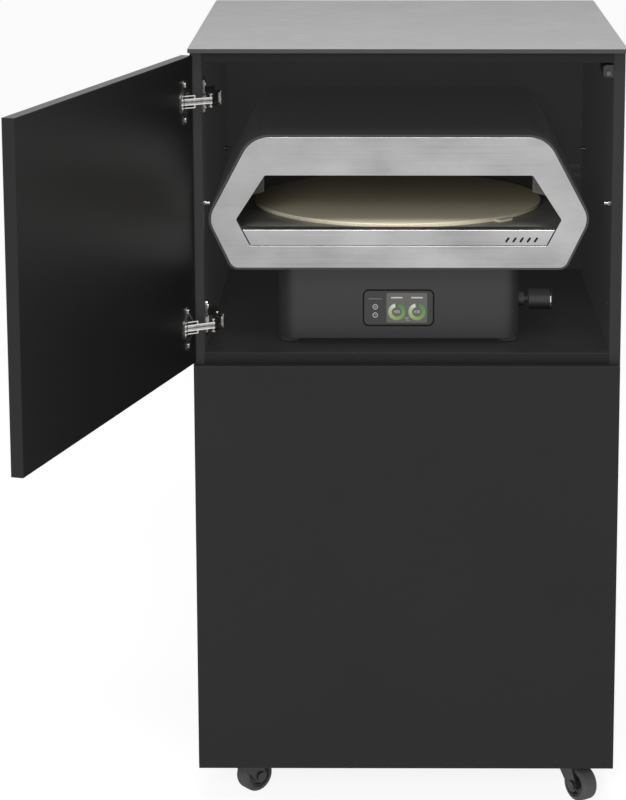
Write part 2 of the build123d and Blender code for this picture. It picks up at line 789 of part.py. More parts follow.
def make_oven_base():
    block = slab(oven_x - oven_base_half, oven_x + oven_base_half, oven_base_front, oven_base_back,
                 shelf_top + oven_base_bottom, shelf_top + oven_base_top)
    uprights = block.edges().filter_by(Axis.Z).sort_by(Axis.Y)
    block = fillet(uprights[:2], oven_base_front_r)
    block = fillet(block.edges().filter_by(Axis.Z).sort_by(Axis.Y)[-2:], oven_base_back_r)
    room = offset(block.faces().sort_by(Axis.Z)[0], -oven_base_wall)
    room = extrude(room, -(oven_base_top - oven_base_bottom - 2 * oven_base_wall))
    block -= Pos(0, 0, oven_base_wall) * room
    pocket = offset(window_outline(), display_gap)
    block -= oven_sheet(pocket, oven_base_front, oven_base_front + oven_base_wall)
    wall = oven_x + oven_base_half
    block -= rod_x(wall - oven_base_wall, wall, knob_y, knob_level, knob_shaft_d)
    return block - rod_y(oven_x, oven_base_back - oven_base_wall, oven_base_back, knob_level, inlet_d)


def make_feet():
    feet = []
    reach = oven_base_half - foot_side_inset
    for x in (oven_x - reach, oven_x + reach):
        for y in (oven_base_front + foot_inset_front, oven_base_back - foot_inset_back):
            foot = rod_z(x, y, shelf_top, shelf_top + oven_base_bottom, foot_d)
            feet.append(fillet(foot.faces().sort_by(Axis.Z)[0].edges(), foot_edge))
    return feet


def window_outline():
    return Pos(0, display_z) * RectangleRounded(display_width, display_height, display_r)


def make_display():
    """Window in the base's front, with a rim behind the wall and a pocket for the screen."""
    front, inner = oven_base_front - display_proud, oven_base_front + oven_base_wall
    window = oven_sheet(window_outline(), front, inner)
    window += oven_sheet(offset(window_outline(), display_rim), inner, inner + display_t)
    return window - oven_sheet(screen_outline(), front, front + screen_t)


def screen_outline():
    return Pos(screen_shift, display_z) * RectangleRounded(screen_width, screen_height, screen_r)


def make_screen():
    front = oven_base_front - display_proud
    return oven_sheet(screen_outline(), front, front + screen_t)


knob_x0 = oven_x + oven_base_half + knob_gap
knob_x1 = knob_x0 + knob_length
knob_y = oven_base_front + knob_setback
knob_level = shelf_top + knob_z


def make_knob():
    knob = rod_x(knob_x0, knob_x1, knob_y, knob_level, knob_d)
    knob = fillet(knob.edges().filter_by(GeomType.CIRCLE), knob_edge)
    knob -= rod_x(knob_x0, knob_x0 + knob_bore_depth, knob_y, knob_level, knob_shaft_d + 2 * run_fit)
    return knob - make_knob_ring()


def make_knob_ring():
    """Bright ring let into the knob near its outer end."""
    x1 = knob_x1 - knob_edge
    ring = rod_x(x1 - knob_ring_t, x1, knob_y, knob_level, knob_d)
    return ring - rod_x(x1 - knob_ring_t, x1, knob_y, knob_level, knob_d - 2 * knob_ring_groove)


def make_knob_shaft():
    """Valve shaft with a collar against the side of the base."""
    wall = oven_x + oven_base_half
    end = knob_x0 + knob_bore_depth - knob_end_gap
    collar = rod_x(wall, wall + knob_collar_t, knob_y, knob_level, knob_collar_d)
    return collar + rod_x(wall - knob_shaft_seat, end, knob_y, knob_level, knob_shaft_d)


def make_gas_inlet():
    """Hose nipple with a nut against the back of the base."""
    y, z = oven_base_back, knob_level
    nut = Plane((oven_x, y, z), x_dir=(1, 0, 0), z_dir=(0, 1, 0))
    inlet = extrude(nut * RegularPolygon(inlet_nut_d / 2, 6), inlet_nut_t)
    inlet += rod_y(oven_x, y - oven_base_wall, y + inlet_length, z, inlet_d)
    barb_length = (inlet_length - inlet_nut_t) / inlet_barbs
    for step in range(inlet_barbs):
        foot = y + inlet_nut_t + step * barb_length
        cone = Cone(inlet_barb_d / 2, inlet_d / 2, barb_length)
        inlet += Pos(oven_x, foot + barb_length / 2, z) * Rot(-90, 0, 0) * cone
    return inlet


# Write every node

os.makedirs("parts", exist_ok=True)

save("worktop", make_worktop())
save("side_panel_left", make_side_panel(-1))
save("side_panel_right", make_side_panel(1))
save("top_panel", make_level(bay_top, carcass_top))
save("oven_shelf", make_level(shelf_bottom, shelf_top))
save("bottom_panel", make_bottom_panel())
save("back_panel", make_back_panel())
save("shelf_pins", *make_shelf_pins())

doors = {"upper": (upper_door_z, upper_door_angle), "lower": (lower_door_z, 0.0)}
for name, (door_z, opening) in doors.items():
    heights = hinge_heights(door_z)
    save(f"{name}_door", make_door(door_z, opening))
    save(f"{name}_hinge_cups", *[make_cup(z, opening) for z in heights])
    save(f"{name}_cup_pins", *[with_door(cup_pin(z), opening) for z in heights])
    save(f"{name}_cup_screws", *[screw for z in heights for screw in make_cup_screws(z, opening)])
    save(f"{name}_rear_links", *[make_rear_link(z, opening) for z in heights])
    save(f"{name}_front_links", *[make_front_link(z, opening) for z in heights])

all_heights = [z for door_z, opening in doors.values() for z in hinge_heights(door_z)]
save("hinge_arms", *[make_arm(z) for z in all_heights])
save("hinge_knuckle_pins", *[make_knuckle_pin(z) for z in all_heights])
save("hinge_plates", *[make_hinge_plate(z) for z in all_heights])
save("hinge_screws", *[screw for z in all_heights for screw in make_arm_screws(z) + make_plate_screws(z)])

save("latch_housings", make_latch_housing(bay_top), make_latch_housing(shelf_bottom))
save("upper_latch_plunger", make_plunger(bay_top))
save("lower_latch_plunger", make_plunger(shelf_bottom))

places = caster_places()
save("caster_plates", *[piece for x, y in places.values() for piece in (make_caster_plate(x, y), make_kingpin(x, y))])
save("caster_screws", *[screw for x, y in places.values() for screw in make_caster_screws(x, y)])
for name, (x, y) in places.items():
    turn = Pos(x, y, 0) * Rot(0, 0, caster_yaw[name])
    save(f"{name}_fork", turn * make_fork())
    save(f"{name}_axle", turn * make_axle())
    save(f"{name}_hub", turn * make_hub())
    save(f"{name}_tyre", turn * make_tyre())

save("oven_hood", make_hood())
save("oven_bezel", make_bezel())
save("oven_sill", make_sill())
save("oven_floor", make_oven_floor())
save("oven_stone", make_stone())
save("oven_baffles", *make_baffles())
save("oven_burner", make_burner())
save("oven_base", make_oven_base())
save("oven_feet", *make_feet())
save("oven_display", make_display())
save("oven_screen", make_screen())
save("oven_knob", make_knob())
save("oven_knob_ring", make_knob_ring())
save("oven_knob_shaft", make_knob_shaft())
save("oven_gas_inlet", make_gas_inlet())
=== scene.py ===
# %% [markdown]
# # A tall outdoor kitchen module with a pizza oven
# The shapes come from a finished CAD model, which this lesson loads as a fixed frame.
# What is left for Blender is how each surface looks: laminate, steel, stone, rubber and
# a small lit display. Everything is in metres, in the frame of the CAD model.

# %% Load the frame
import json
from math import pi, radians

import bmesh
import bpy
from mathutils import Matrix, Vector


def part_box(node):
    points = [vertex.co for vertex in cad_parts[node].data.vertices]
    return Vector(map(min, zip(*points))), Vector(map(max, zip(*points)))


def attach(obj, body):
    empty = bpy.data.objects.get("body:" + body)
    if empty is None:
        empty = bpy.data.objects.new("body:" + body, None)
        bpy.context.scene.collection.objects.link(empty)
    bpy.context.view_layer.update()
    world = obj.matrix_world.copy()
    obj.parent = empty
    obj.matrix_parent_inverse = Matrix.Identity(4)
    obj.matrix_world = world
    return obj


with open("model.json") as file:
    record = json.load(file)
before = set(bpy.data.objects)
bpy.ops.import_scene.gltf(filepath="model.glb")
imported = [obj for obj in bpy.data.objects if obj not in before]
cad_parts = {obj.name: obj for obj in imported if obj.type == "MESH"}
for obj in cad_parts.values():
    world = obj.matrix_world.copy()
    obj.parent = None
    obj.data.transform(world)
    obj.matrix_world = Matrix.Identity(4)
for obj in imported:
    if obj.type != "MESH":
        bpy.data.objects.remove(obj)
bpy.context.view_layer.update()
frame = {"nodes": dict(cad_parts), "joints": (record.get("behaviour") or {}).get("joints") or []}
nodes = frame["nodes"]

# %% [markdown]
# ## Camera
# The picture was taken from the front, a little above the worktop. A wide lens close by would
# make the uprights lean, so a long lens stands well back and keeps them nearly parallel. It
# looks slightly down, and a small shift does the rest, as on a view camera.

# %% Camera
picture_width, picture_height = 626, 800
focal_pixels = 2640.4
sight_x, sight_y = 377.0, 224.0
camera_place = (-0.0264, -3.8778, 1.5535)
look_down, turn_left, view_reach = radians(10.959), radians(0.245), 200
camera_data = bpy.data.cameras.new("camera")
camera_data.lens = focal_pixels / picture_height * camera_data.sensor_width
camera_data.shift_x = (picture_width / 2 - sight_x) / picture_height
camera_data.shift_y = (sight_y - picture_height / 2) / picture_height
camera_data.clip_end = view_reach
camera = bpy.data.objects.new("camera", camera_data)
camera.location = camera_place
camera.rotation_euler = (pi / 2 - look_down, 0, turn_left)
bpy.context.scene.collection.objects.link(camera)
bpy.context.scene.camera = camera
bpy.context.scene.view_settings.view_transform = "Standard"
print("lens", round(camera_data.lens, 1), "mm")

# %% [markdown]
# ## Dome
# The studio is white all round. One bright world could give that, but it would wash out the
# dark boards. So the world has two strengths: rays from the eye and reflections see white,
# and the light that reaches surfaces stays at a plain level, at which a colour renders about
# as it is written.

# %% Dome
def seen_share(tree):
    """Factor that is 1 for rays from the eye and for reflected or refracted ones."""
    path = tree.nodes.new("ShaderNodeLightPath")
    share = path.outputs["Is Camera Ray"]
    for kind in ("Is Glossy Ray", "Is Transmission Ray"):
        either = tree.nodes.new("ShaderNodeMath")
        either.operation = "MAXIMUM"
        tree.links.new(share, either.inputs[0])
        tree.links.new(path.outputs[kind], either.inputs[1])
        share = either.outputs[0]
    return share


def show_both(tree, plain, seen, output):
    """One shader for the light that is given off, another for what is seen."""
    mix = tree.nodes.new("ShaderNodeMixShader")
    for index, source in enumerate((seen_share(tree), plain.outputs[0], seen.outputs[0])):
        tree.links.new(source, mix.inputs[index])
    tree.links.new(mix.outputs[0], tree.nodes[output].inputs["Surface"])


dome_level = 0.35
dome = bpy.data.worlds.new("dome")
dome.use_nodes = True
bpy.context.scene.world = dome
dome_light = dome.node_tree.nodes["Background"]
dome_light.inputs["Color"].default_value = (1, 1, 1, 1)
dome_light.inputs["Strength"].default_value = dome_level
dome_white = dome.node_tree.nodes.new("ShaderNodeBackground")
dome_white.inputs["Color"].default_value = (1, 1, 1, 1)
show_both(dome.node_tree, dome_light, dome_white, "World Output")
print("dome level", dome_level)

# %% [markdown]
# ## Lamps
# One round lamp hangs above and one stands in front. A small lamp would draw hard shadows, so
# both are more than a metre wide. The front lamp is kept out of reflections, because the steel
# would show it as a white patch.

# %% Lamps
def lamp(name, place, aim, size, power, in_reflections):
    """Round area lamp that points at aim."""
    data = bpy.data.lights.new(name, "AREA")
    data.shape, data.size, data.energy = "DISK", size, power
    light = bpy.data.objects.new(name, data)
    light.visible_glossy = in_reflections
    light.location = place
    light.rotation_euler = (Vector(aim) - Vector(place)).to_track_quat("-Z", "Y").to_euler()
    bpy.context.scene.collection.objects.link(light)
    return light


lamp("lamp_above", place=(0.1, -2.0, 3.3), aim=(0, -0.1, 0.8), size=1.3, power=60,
     in_reflections=True)
lamp("lamp_front", place=(-0.7, -4.3, 2.0), aim=(0.05, 0, 0.8), size=1.4, power=98,
     in_reflections=False)
print("lamps", [light.name for light in bpy.data.lights])

# %% [markdown]
# ## Floor
# The floor is a plain white sweep. Plain white paint would turn grey where the lamps don't
# reach. So the floor sends back light as pale paint does, and to the eye it shows a white
# glow with a little paint on top, which keeps the object's soft shadow.

# %% Floor
floor_half, floor_tone, shadow_tone, glow_level = 40, 0.7, 0.22, 0.88
floor_mesh = bpy.data.meshes.new("studio_floor")
floor_shape = bmesh.new()
bmesh.ops.create_grid(floor_shape, x_segments=1, y_segments=1, size=floor_half)
floor_shape.to_mesh(floor_mesh)
floor_shape.free()
studio_floor = bpy.data.objects.new("studio_floor", floor_mesh)
bpy.context.scene.collection.objects.link(studio_floor)
floor_paint = bpy.data.materials.new("floor_paint")
floor_paint.use_nodes = True
floor_tree = floor_paint.node_tree
floor_tree.nodes.remove(floor_tree.nodes["Principled BSDF"])
plain = floor_tree.nodes.new("ShaderNodeBsdfDiffuse")
plain.inputs["Color"].default_value = (floor_tone, floor_tone, floor_tone, 1)
shaded = floor_tree.nodes.new("ShaderNodeBsdfDiffuse")
shaded.inputs["Color"].default_value = (shadow_tone, shadow_tone, shadow_tone, 1)
glow = floor_tree.nodes.new("ShaderNodeEmission")
glow.inputs["Strength"].default_value = glow_level
white = floor_tree.nodes.new("ShaderNodeAddShader")
floor_tree.links.new(shaded.outputs[0], white.inputs[0])
floor_tree.links.new(glow.outputs[0], white.inputs[1])
show_both(floor_tree, plain, white, "Material Output")
floor_mesh.materials.append(floor_paint)
print("floor", studio_floor.dimensions[:])

# %% [markdown]
# ## Fill lamps
# The two lamps leave black corners deep in the oven bay, and the picture has none. More light
# everywhere would bleach the worktop and the steel. So a fill lamp stands at each side, and
# light linking limits it: it reaches only the bay's boards and the oven's dark pieces, and
# nothing but the floor may shade it.

# %% Fill lamps
filled_pieces = ("side_panel_left", "side_panel_right", "oven_shelf", "back_panel", "oven_hood",
                 "oven_base", "oven_knob", "oven_knob_shaft", "oven_feet")
filled = bpy.data.collections.new("filled")
for name in filled_pieces:
    filled.objects.link(nodes[name])
shading = bpy.data.collections.new("shading")
shading.objects.link(studio_floor)
for label, x in (("left", -2.4), ("right", 2.4)):
    fill = lamp(f"lamp_fill_{label}", place=(x, -1.3, 2.2), aim=(0, 0.05, 0.85), size=0.9,
                power=120, in_reflections=False)
    fill.light_linking.receiver_collection = filled
    fill.light_linking.blocker_collection = shading

# %% [markdown]
# ## How a finish is wired
# Every finish is a small tree of nodes. It could be wired by hand in the shader editor; in a
# script the wiring gets long. This class keeps the calls short: it makes a material, adds
# nodes, and feeds a socket, found by its name or number, with a value or another socket.

# %% Wiring
class Wiring:
    """A material under construction."""

    def __init__(self, name, color, roughness, metallic=0.0, specular=0.5):
        self.material = bpy.data.materials.new(name)
        self.material.use_nodes = True
        self.tree = self.material.node_tree
        self.shader = self.tree.nodes["Principled BSDF"]
        self.place = self.add("ShaderNodeTexCoord").outputs["Object"]
        self.set(**{"Base Color": (*color, 1), "Roughness": roughness, "Metallic": metallic,
                    "Specular IOR Level": specular})

    def set(self, **sockets):
        """Feeds the surface shader."""
        self.feed(self.shader, sockets)

    def feed(self, node, sockets):
        """Gives each socket its value, or a link where the value is a socket."""
        for name, value in sockets.items():
            if isinstance(value, bpy.types.NodeSocket):
                self.tree.links.new(value, node.inputs[name])
            else:
                node.inputs[name].default_value = value

    def add(self, kind, sockets=None, **settings):
        """New node with its settings and sockets."""
        node = self.tree.nodes.new(kind)
        for name, value in settings.items():
            setattr(node, name, value)
        self.feed(node, sockets or {})
        return node


# %% [markdown]
# ## Patterns
# No real surface has one flat colour. Images could carry the variation, but they have to be
# painted and mapped; a finish gets it from noise, which needs no map and has no seams. Noise
# mostly stays between 0.3 and 0.7, so that range is spread over two numbers or two colours.

# %% Patterns
usual_low, usual_high = 0.3, 0.7
mix_share, mix_first, mix_second, mix_color = 0, 6, 7, 2


class Finish(Wiring):
    """A material with the patterns that the surfaces below need."""

    def stretched(self, scale):
        """Coordinates scaled differently along X, Y and Z."""
        return self.add("ShaderNodeMapping", {"Vector": self.place, "Scale": scale}).outputs[0]

    def noise(self, scale, detail, place=None):
        """Noise on the object's coordinates, or on others."""
        sockets = {"Vector": place or self.place, "Scale": scale, "Detail": detail}
        return self.add("ShaderNodeTexNoise", sockets).outputs["Fac"]

    def spread(self, value, low, high, start=usual_low, end=usual_high):
        """Maps a pattern's usual range to low..high."""
        sockets = {"Value": value, "From Min": start, "From Max": end,
                   "To Min": low, "To Max": high}
        return self.add("ShaderNodeMapRange", sockets).outputs["Result"]

    def ramp(self, value, *stops):
        """Colour ramp from (position, colour) stops."""
        node = self.add("ShaderNodeValToRGB", {"Fac": value})
        elements = node.color_ramp.elements
        while len(elements) < len(stops):
            elements.new(1.0)
        for element, (position, color) in zip(elements, stops):
            element.position, element.color = position, (*color, 1)
        return node.outputs["Color"]

    def between(self, pattern, low, high):
        """Colour that follows a pattern over its usual range."""
        return self.ramp(pattern, (usual_low, low), (usual_high, high))

    def mix(self, share, first, second):
        """Colour that goes from first to second as the share goes from 0 to 1."""
        first, second = (value if isinstance(value, bpy.types.NodeSocket) else (*value, 1)
                         for value in (first, second))
        sockets = {mix_share: share, mix_first: first, mix_second: second}
        return self.add("ShaderNodeMix", sockets, data_type="RGBA").outputs[mix_color]

    def math(self, operation, first, second=0.0):
        """One operation on two numbers or sockets."""
        return self.add("ShaderNodeMath", {0: first, 1: second}, operation=operation).outputs[0]

    def away(self, value, middle=0.0):
        """Distance of a value from a middle, on either side."""
        return self.math("ABSOLUTE", self.math("SUBTRACT", value, middle))

    def axes(self, place=None):
        """The X, Y and Z of the coordinates as three sockets."""
        return self.add("ShaderNodeSeparateXYZ", {"Vector": place or self.place}).outputs

    def relief(self, height, depth):
        """Bump whose depth is in metres."""
        sockets = {"Height": height, "Distance": depth, "Strength": 1.0}
        self.set(Normal=self.add("ShaderNodeBump", sockets).outputs["Normal"])


# %% [markdown]
# ## Worktop
# The worktop is a thin compact board: a grey printed face with fine streaks and speckle, and a
# darker core that shows along its edges. Two materials on two sets of faces would do, but the
# mesh stays as it is. So one material tells the face from the edge by its height.

# %% Worktop finish
def dress(finish, *names):
    """Gives CAD nodes a finish."""
    for name in names:
        materials = nodes[name].data.materials
        materials.clear()
        materials.append(finish.material)
    print(finish.material.name, "on", len(names), "nodes")


def grey(value):
    """Neutral colour."""
    return (value, value, value)


worktop_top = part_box("worktop")[1][2]
face_skin, core_tone = 0.0003, 0.045
worktop = Finish("worktop_face", grey(0.35), 0.55, specular=0.25)
streak = worktop.noise(1.0, 5.0, worktop.stretched((30, 190, 190)))
speckle = worktop.noise(700, 2.0)
cloud = worktop.noise(11, 5.0)
face = worktop.between(streak, grey(0.24), grey(0.37))
face = worktop.mix(worktop.spread(speckle, 0.0, 0.5), face, grey(0.37))
face = worktop.mix(worktop.spread(cloud, 0.0, 0.5), face, grey(0.39))
is_face = worktop.math("GREATER_THAN", worktop.axes()["Z"], worktop_top - face_skin)
worktop.set(**{"Base Color": worktop.mix(is_face, grey(core_tone), face),
               "Roughness": worktop.spread(cloud, 0.46, 0.64)})
worktop.relief(speckle, 0.00006)
dress(worktop, "worktop")

# %% [markdown]
# ## Boards
# The carcass is made of 16 mm boards with a matt anthracite laminate. Its faces have a fine
# pearl texture and a faint cloudiness, and the front edges carry a plain strip. A photo
# texture would need UV maps and would repeat. Noise on the object's own coordinates needs
# neither, and comparing a coordinate with a plane picks out the strips and the outer sides.
# The one laminate gets lit and shaded tones: the side panels' inner faces are painted lighter,
# painted light in the bay's shade, and their outer faces and the shelf are painted darker,
# painted shade against the fill lamps.

# %% Board finish
def laminate(name, color, place_of=None):
    """Laminate with a pearl texture; returns finish, coordinates, face colour and pearl."""
    finish = Finish(name, grey(color), 0.36, specular=0.17)
    place = place_of(finish) if place_of else finish.place
    pearl = finish.noise(900, 2.0, place)
    cloud = finish.noise(5, 5.0, place)
    face = finish.between(pearl, grey(color * 0.82), grey(color * 1.18))
    face = finish.mix(finish.spread(cloud, 0.0, 0.35), face, grey(color * 1.25))
    finish.relief(pearl, 0.00005)
    return finish, place, face, pearl


def strip_edges(finish, face, pearl, is_edge, strip):
    """Sets the face's colour, with strips where is_edge is 1, and a gloss from the pearl."""
    finish.set(**{"Base Color": finish.mix(is_edge, face, grey(strip)),
                  "Roughness": finish.spread(pearl, 0.32, 0.42)})


front_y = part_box("side_panel_left")[0][1]
wall_middle_x = sum(corner[0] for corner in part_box("side_panel_right")) / 2
skin = 0.0007
# Lit and shaded tones of one laminate: painted light on the side panels' inner faces, painted
# shade on the shelf.
board_tones = (("side", 0.018, 0.013, ("side_panel_left", "side_panel_right")),
               ("carcass", 0.013, 0.013, ("top_panel", "bottom_panel", "back_panel")),
               ("shelf", 0.009, 0.006, ("oven_shelf",)))
for name, tone, strip, boards in board_tones:
    finish, place, face, pearl = laminate(f"{name}_laminate", tone)
    axes = finish.axes(place)
    outward = finish.math("GREATER_THAN", finish.away(axes["X"]), wall_middle_x)
    # The side panels' outer faces get a darker tone: painted shade against the fill lamps.
    face = finish.mix(outward, face, finish.between(pearl, grey(0.008), grey(0.012)))
    at_front = finish.math("LESS_THAN", axes["Y"], front_y + skin)
    strip_edges(finish, face, pearl, at_front, strip)
    dress(finish, *boards)

# %% [markdown]
# ## Doors
# The doors have the same laminate with strips on all four edges; their inner faces get a
# darker tone, painted shade. The upper door stands open, so its edges don't follow the axes.
# Its faces could be marked one by one, but it is simpler to turn its coordinates back to the
# closed place: then one rule finds the edges of both doors.

# %% Door finishes
upper_swing = next(joint for joint in frame["joints"] if joint["name"] == "upper_door_swing")
door_rest_angle = radians(106)
door_tone, door_strip = 0.013, 0.014
door_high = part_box("lower_door")[1]


def turned_shut(finish):
    """The open door's coordinates, turned back to the closed place."""
    sockets = {"Vector": finish.place, "Center": upper_swing["pos_m"], "Angle": door_rest_angle}
    return finish.add("ShaderNodeVectorRotate", sockets, rotation_type="Z_AXIS").outputs[0]


for door, place_of in (("upper_door", turned_shut), ("lower_door", None)):
    finish, place, face, pearl = laminate(f"{door}_laminate", door_tone, place_of)
    x, y, z = finish.axes(place)
    bottom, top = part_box(door)[0][2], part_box(door)[1][2]
    # Inner faces: a darker tone of the laminate, painted shade.
    at_back = finish.math("GREATER_THAN", y, door_high[1] - skin)
    face = finish.mix(at_back, face, finish.between(pearl, grey(0.006), grey(0.009)))
    at_side = finish.math("GREATER_THAN", finish.away(x), door_high[0] - skin)
    rise = finish.away(z, (bottom + top) / 2)
    at_end = finish.math("GREATER_THAN", rise, (top - bottom) / 2 - skin)
    strip_edges(finish, face, pearl, finish.math("MAXIMUM", at_side, at_end), door_strip)
    dress(finish, door)

# %% [markdown]
# ## Hinges
# Hinges are nickel-plated stampings. A flat metal shader would look like plastic foil: real
# plating follows the stamping's slight waviness, which breaks up the reflections. So one soft
# noise drives colour, gloss and bump together. The arms get the plating at 0.6 of its
# brightness: painted shade.

# %% Hinge plating
def nickel_plate(name, brightness=1.0):
    """Nickel plating over a slightly wavy stamping; returns the finish and its colour."""
    finish = Finish(name, grey(0.4), 0.25, metallic=1.0)
    wave = finish.noise(170, 3.0)
    finish.set(Roughness=finish.spread(wave, 0.16, 0.34))
    finish.relief(wave, 0.00012)
    dull = [part * brightness for part in (0.25, 0.245, 0.235)]
    bright = [part * brightness for part in (0.52, 0.515, 0.50)]
    return finish, finish.between(wave, dull, bright)


hinge_kinds = ("hinge_cups", "cup_pins", "cup_screws", "front_links")
bright_pieces = ("shelf_pins", "hinge_knuckle_pins", "hinge_plates", "hinge_screws",
                 *[f"{door}_{kind}" for door in ("upper", "lower") for kind in hinge_kinds])
# The arms' darker copy of the plating is painted shade.
for name, brightness, pieces in (("nickel_plate", 1.0, bright_pieces),
                                 ("shaded_nickel_plate", 0.6, ("hinge_arms",))):
    finish, plating = nickel_plate(name, brightness)
    finish.set(**{"Base Color": plating})
    dress(finish, *pieces)

# %% [markdown]
# ## Hinge links
# The long link of each hinge is a folded stamping. Its two edges carry painted highlights, and
# a dark line down the middle is painted shade where a groove would lie. Both hinges of a door
# are dressed at once: the height is measured from the nearer of the two, so the bands fall on
# each link in the same way.

# %% Hinge links
link_reach, edge_start, groove_half = 0.0088, 0.0031, 0.0009
# Painted highlight on the edges, painted shade along the middle.
highlight_nickel, groove_shade_tone = (0.74, 0.73, 0.71), 0.1
for door in ("upper", "lower"):
    finish, plating = nickel_plate(f"{door}_link_plate")
    low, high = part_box(f"{door}_rear_links")
    half_pitch = (high[2] - low[2]) / 2 - link_reach
    from_middle = finish.away(finish.axes()["Z"], (low[2] + high[2]) / 2)
    from_hinge = finish.away(from_middle, half_pitch)
    at_edge = finish.math("GREATER_THAN", from_hinge, edge_start)
    in_groove = finish.math("LESS_THAN", from_hinge, groove_half)
    bands = finish.mix(at_edge, plating, highlight_nickel)
    finish.set(**{"Base Color": finish.mix(in_groove, bands, grey(groove_shade_tone))})
    dress(finish, f"{door}_rear_links")

# %% [markdown]
# ## Plastic and coated fittings
# Latches and wheel hubs are moulded plastic, the casters' forks are black coated steel, and
# their treads are soft grey rubber. All of these have a fine even grain and differ in its
# size, depth and gloss, so one function makes them all.

# %% Plastic and coated fittings
grain_low, grain_high, gloss_swing = 0.85, 1.15, 0.06


def moulded(name, color, roughness, grain, depth):
    """Moulded or coated surface with a fine even grain."""
    finish = Finish(name, color, roughness)
    texture = finish.noise(grain, 2.0)
    low, high = ([part * share for part in color] for share in (grain_low, grain_high))
    gloss = finish.spread(texture, roughness - gloss_swing, roughness + gloss_swing)
    finish.set(**{"Base Color": finish.between(texture, low, high), "Roughness": gloss})
    finish.relief(texture, depth)
    return finish


def at_corners(*kinds):
    """Names of the casters' nodes of some kinds, for all four corners."""
    corners = ("front_left", "front_right", "rear_left", "rear_right")
    return [f"{corner}_{kind}" for corner in corners for kind in kinds]


dress(moulded("latch_housing_plastic", grey(0.022), 0.45, 1200, 0.00003), "latch_housings")
dress(moulded("plunger_plastic", grey(0.075), 0.4, 1200, 0.00003),
      "upper_latch_plunger", "lower_latch_plunger")
dress(moulded("coated_steel", grey(0.02), 0.4, 700, 0.00005),
      "caster_plates", "caster_screws", *at_corners("fork", "axle"))
dress(moulded("hub_plastic", grey(0.018), 0.5, 900, 0.00003), *at_corners("hub"))
dress(moulded("tread_rubber", grey(0.07), 0.75, 600, 0.0001), *at_corners("tyre"))

# %% [markdown]
# ## Oven front
# The oven's front and sill are stainless sheet, brushed from side to side. An anisotropic
# shader could hint at that, but from near by the lines themselves show. A noise stretched
# along X draws them, and a second, larger one lays faint smudges over them.

# %% Oven front
steel = Finish("brushed_stainless", grey(0.45), 0.34, metallic=1.0)
brush = steel.noise(1.0, 6.0, steel.stretched((5, 560, 560)))
smudge = steel.noise(1.0, 5.0, steel.stretched((8, 11, 13)))
lines = steel.between(brush, grey(0.30), grey(0.39))
steel.set(**{"Base Color": steel.mix(steel.spread(smudge, 0.0, 0.9), lines, grey(0.51)),
             "Roughness": steel.spread(brush, 0.30, 0.42)})
steel.relief(brush, 0.00002)
dress(steel, "oven_bezel", "oven_sill")

# %% [markdown]
# ## Oven body
# Hood and base have an anthracite powder coat with a fine orange peel, which the grain of the
# moulded finish gives as well. The hood gets a lighter and the base a darker tone of it: painted
# light and painted shade that even out the bay's light. The steel inside is tinted by heat: slow
# patches from straw to grey, half dulled, so it is given only a little metal.

# %% Oven body
# Lit and shaded tones of one powder coat: the hood lighter, the base darker.
dress(moulded("hood_powder_coat", grey(0.018), 0.5, 1100, 0.00006),
      "oven_hood", "oven_knob_shaft")
dress(moulded("base_powder_coat", grey(0.009), 0.5, 1100, 0.00006), "oven_base")
tinted = Finish("heat_tinted_steel", (0.2, 0.195, 0.17), 0.45, metallic=0.25)
tint = tinted.noise(18, 4.0)
patches = tinted.between(tint, (0.19, 0.186, 0.165), (0.31, 0.305, 0.28))
tinted.set(**{"Base Color": patches, "Roughness": tinted.spread(tint, 0.38, 0.55)})
dress(tinted, "oven_floor", "oven_baffles", "oven_burner")

# %% [markdown]
# ## Baking stone
# The stone is a rough cream ceramic disc. Its top is painted pale at the front, where light
# falls in through the mouth, and darker behind: painted light and painted shade. The change
# could be painted by hand; a ramp along the depth does it in one line and stays with the
# stone's size. Its rim is found by height and keeps the stone's colour without the fade.

# %% Baking stone
stone = Finish("baking_stone", (0.45, 0.40, 0.30), 0.85, specular=0.2)
grit = stone.noise(420, 4.0)
stone_low, stone_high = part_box("oven_stone")
rim_start = 0.001
depth_share = stone.spread(stone.axes()["Y"], 0.0, 1.0, stone_low[1], stone_high[1])
# Painted light at the front of the top, painted shade deeper in.
mouth_light_fade = stone.ramp(depth_share, (0.0, (0.92, 0.85, 0.63)), (0.14, (0.86, 0.78, 0.57)),
                    (0.42, (0.52, 0.45, 0.32)), (1.0, (0.74, 0.66, 0.47)))
top_face = stone.mix(stone.spread(grit, 0.0, 0.45), mouth_light_fade, (0.72, 0.66, 0.50))
rim_face = stone.between(grit, (0.58, 0.53, 0.40), (0.74, 0.68, 0.52))
on_top = stone.math("GREATER_THAN", stone.axes()["Z"], stone_high[2] - rim_start)
stone.set(**{"Base Color": stone.mix(on_top, rim_face, top_face),
             "Roughness": stone.spread(grit, 0.78, 0.92)})
stone.relief(grit, 0.0003)
dress(stone, "oven_stone")

# %% [markdown]
# ## Oven fittings
# Feet, knob and display glass are moulded. The knob has a polished ring, and the gas inlet at
# the back is turned brass: its noise is squeezed along Y, so that fine tool marks run round it.

